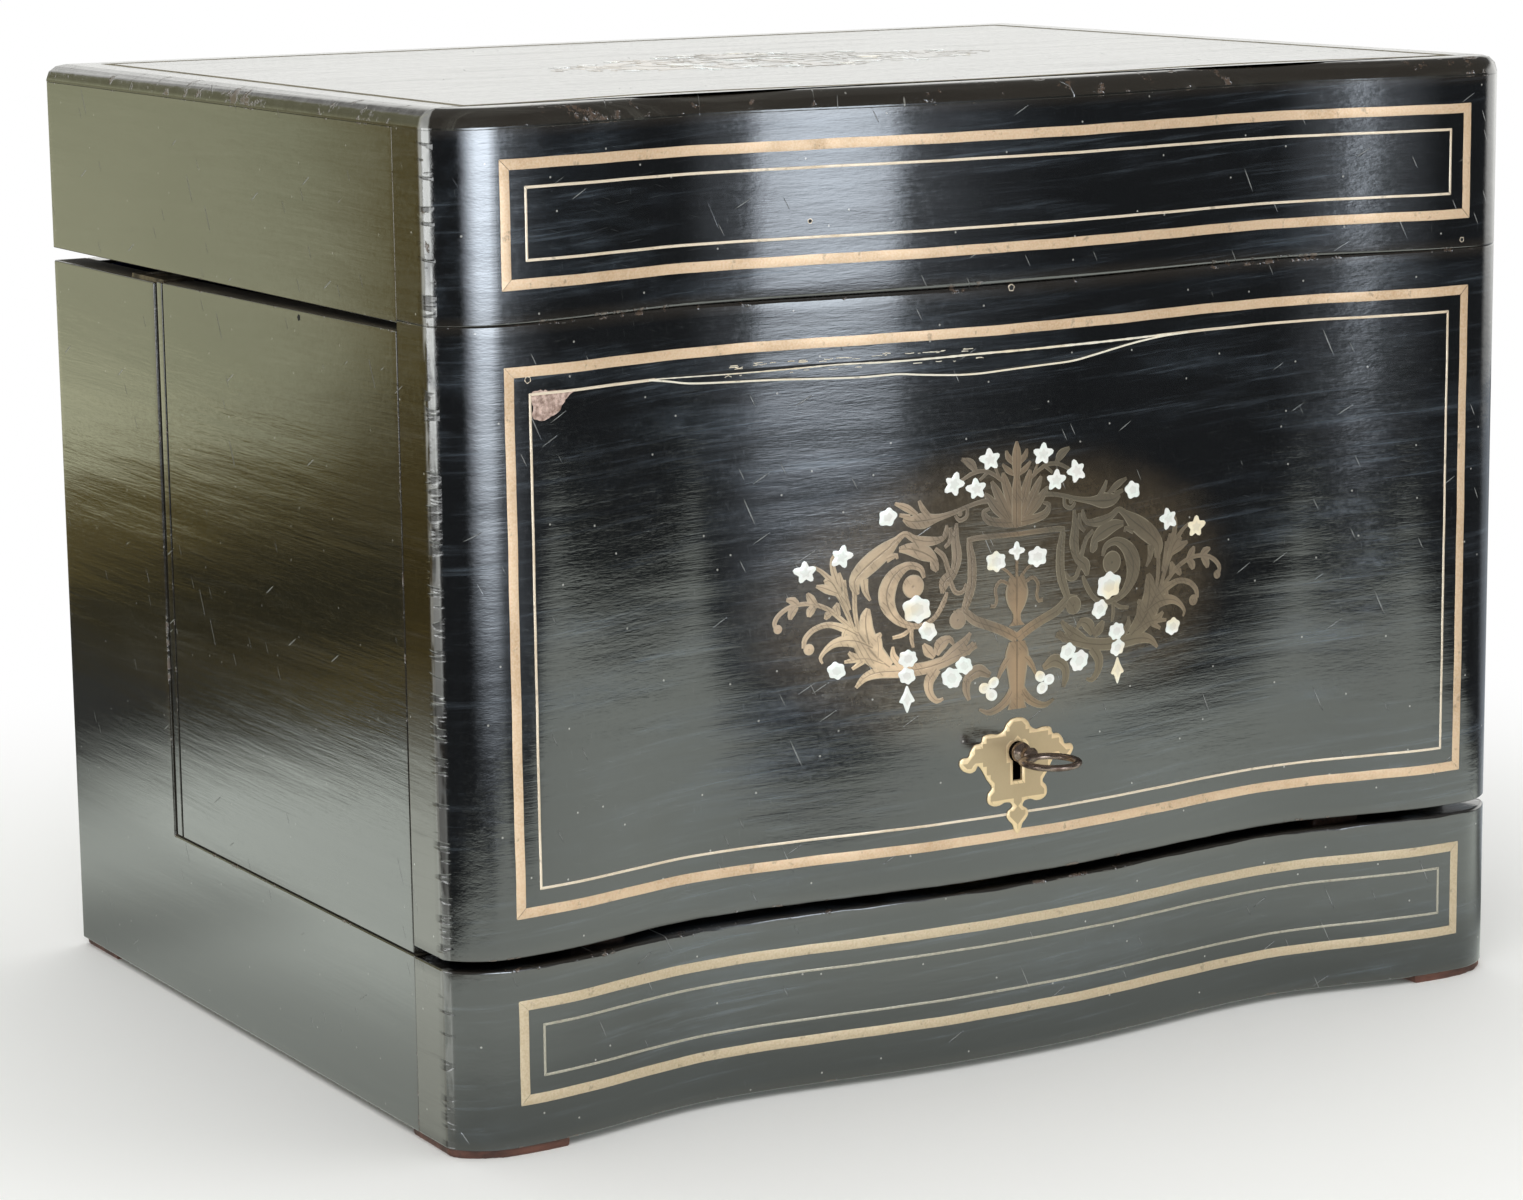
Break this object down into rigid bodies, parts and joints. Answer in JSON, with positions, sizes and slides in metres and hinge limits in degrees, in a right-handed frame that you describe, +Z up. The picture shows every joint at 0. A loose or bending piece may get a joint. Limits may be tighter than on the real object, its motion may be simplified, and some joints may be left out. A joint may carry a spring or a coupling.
{
  "type": "jewelry casket",
  "caption": "Serpentine-fronted ebonised jewel casket with brass and mother-of-pearl inlay, lifting lid and front, side doors, lock with key and lift-out tray.",
  "frame": {"origin": "middle of the overall box at the level of the feet's undersides", "axes": "+X to the casket's right as seen from the front, +Y to the back, +Z up"},
  "size_m": [0.33, 0.277, 0.259],
  "materials": {
    "ebonised_wood": "black French polish, worn and finely scratched",
    "caddy_wood": "dark stained and polished",
    "carcass_wood": "bare oak",
    "foot_wood": "worn red-brown wood",
    "brass_stringing": "tarnished brass stringing",
    "marquetry_brass": "engraved marquetry brass, browned",
    "mother_of_pearl": "mother-of-pearl",
    "brass_fittings": "satin brass",
    "lock_steel": "spring steel",
    "key_steel": "dark bronzed steel",
    "velvet": "deep blue velvet",
    "padded_silk": "buttoned silk",
    "leather": "thin leather pads"
  },
  "bodies": {
    "case": {"plinth_front": "ebonised_wood", "plinth_inlay_band": "brass_stringing", "plinth_inlay_string": "brass_stringing", "strike_plate": "brass_fittings", "side_board_left": "ebonised_wood", "side_board_right": "ebonised_wood", "back_board": "ebonised_wood", "bottom_board": "carcass_wood", "glue_blocks": "carcass_wood", "feet": "foot_wood", "floor_lining": "velvet", "back_lining": "velvet", "door_pins": "brass_fittings", "pivot_plates": "brass_fittings", "case_hinge_leaves": "brass_fittings", "hinge_pins": "brass_fittings", "case_screws": "brass_fittings", "lid_buffers": "leather"},
    "left_door": {"door_left": "ebonised_wood", "door_left_lining": "velvet", "door_left_hooks": "brass_fittings"},
    "right_door": {"door_right": "ebonised_wood", "door_right_lining": "velvet", "door_right_hooks": "brass_fittings"},
    "lid": {"lid_top": "ebonised_wood", "top_inlay_band": "brass_stringing", "top_marquetry_brass": "marquetry_brass", "top_marquetry_pearl": "mother_of_pearl", "lid_front_rail": "ebonised_wood", "lid_inlay_band": "brass_stringing", "lid_inlay_string": "brass_stringing", "lid_rail_left": "ebonised_wood", "lid_rail_right": "ebonised_wood", "lid_back_rail": "ebonised_wood", "lid_pad": "padded_silk", "lid_hinge_leaves": "brass_fittings", "lid_screws": "brass_fittings", "front_panel": "ebonised_wood", "panel_inlay_band": "brass_stringing", "panel_inlay_string": "brass_stringing", "cartouche_brass": "marquetry_brass", "cartouche_pearl": "mother_of_pearl", "escutcheon": "marquetry_brass", "front_lining": "velvet", "corner_straps": "brass_fittings", "lock_case": "brass_fittings", "lock_cap": "brass_fittings", "lock_pin": "lock_steel", "lock_spring": "lock_steel"},
    "key": {"key": "key_steel"},
    "bolt": {"lock_bolt": "brass_fittings"},
    "caddy": {"caddy_deck": "caddy_wood", "deck_lining": "velvet", "caddy_columns": "brass_fittings", "caddy_tray": "caddy_wood", "tray_lining": "velvet", "tray_dividers": "caddy_wood", "ring_rolls": "velvet", "caddy_handle": "brass_fittings"}
  },
  "joints": [
    {"name": "lid_hinge", "type": "hinge", "parent": "case", "child": "lid", "pos_m": [0, 0.1365, 0.2051], "axis": [-1, 0, 0], "range_deg": [0, 100]},
    {"name": "left_door_hinge", "type": "hinge", "parent": "case", "child": "left_door", "pos_m": [-0.1625, 0.0582, 0.125], "axis": [0, 0, -1], "range_deg": [0, 90]},
    {"name": "right_door_hinge", "type": "hinge", "parent": "case", "child": "right_door", "pos_m": [0.1625, 0.0582, 0.125], "axis": [0, 0, 1], "range_deg": [0, 90]},
    {"name": "key_turn", "type": "hinge", "parent": "lid", "child": "key", "pos_m": [0, -0.1007, 0.084], "axis": [0, 1, 0], "range_deg": [0, 180]},
    {"name": "bolt_slide", "type": "slide", "parent": "lid", "child": "bolt", "axis": [0, 0, -1], "range_m": [0, 0.008]},
    {"name": "caddy_lift", "type": "slide", "parent": "case", "child": "caddy", "axis": [0, 0, 1], "range_m": [0, 0.04]}
  ],
  "couplings": [
    {"joint": "bolt_slide", "follows": "key_turn", "m_per_rad": 0.0025464}
  ]
}
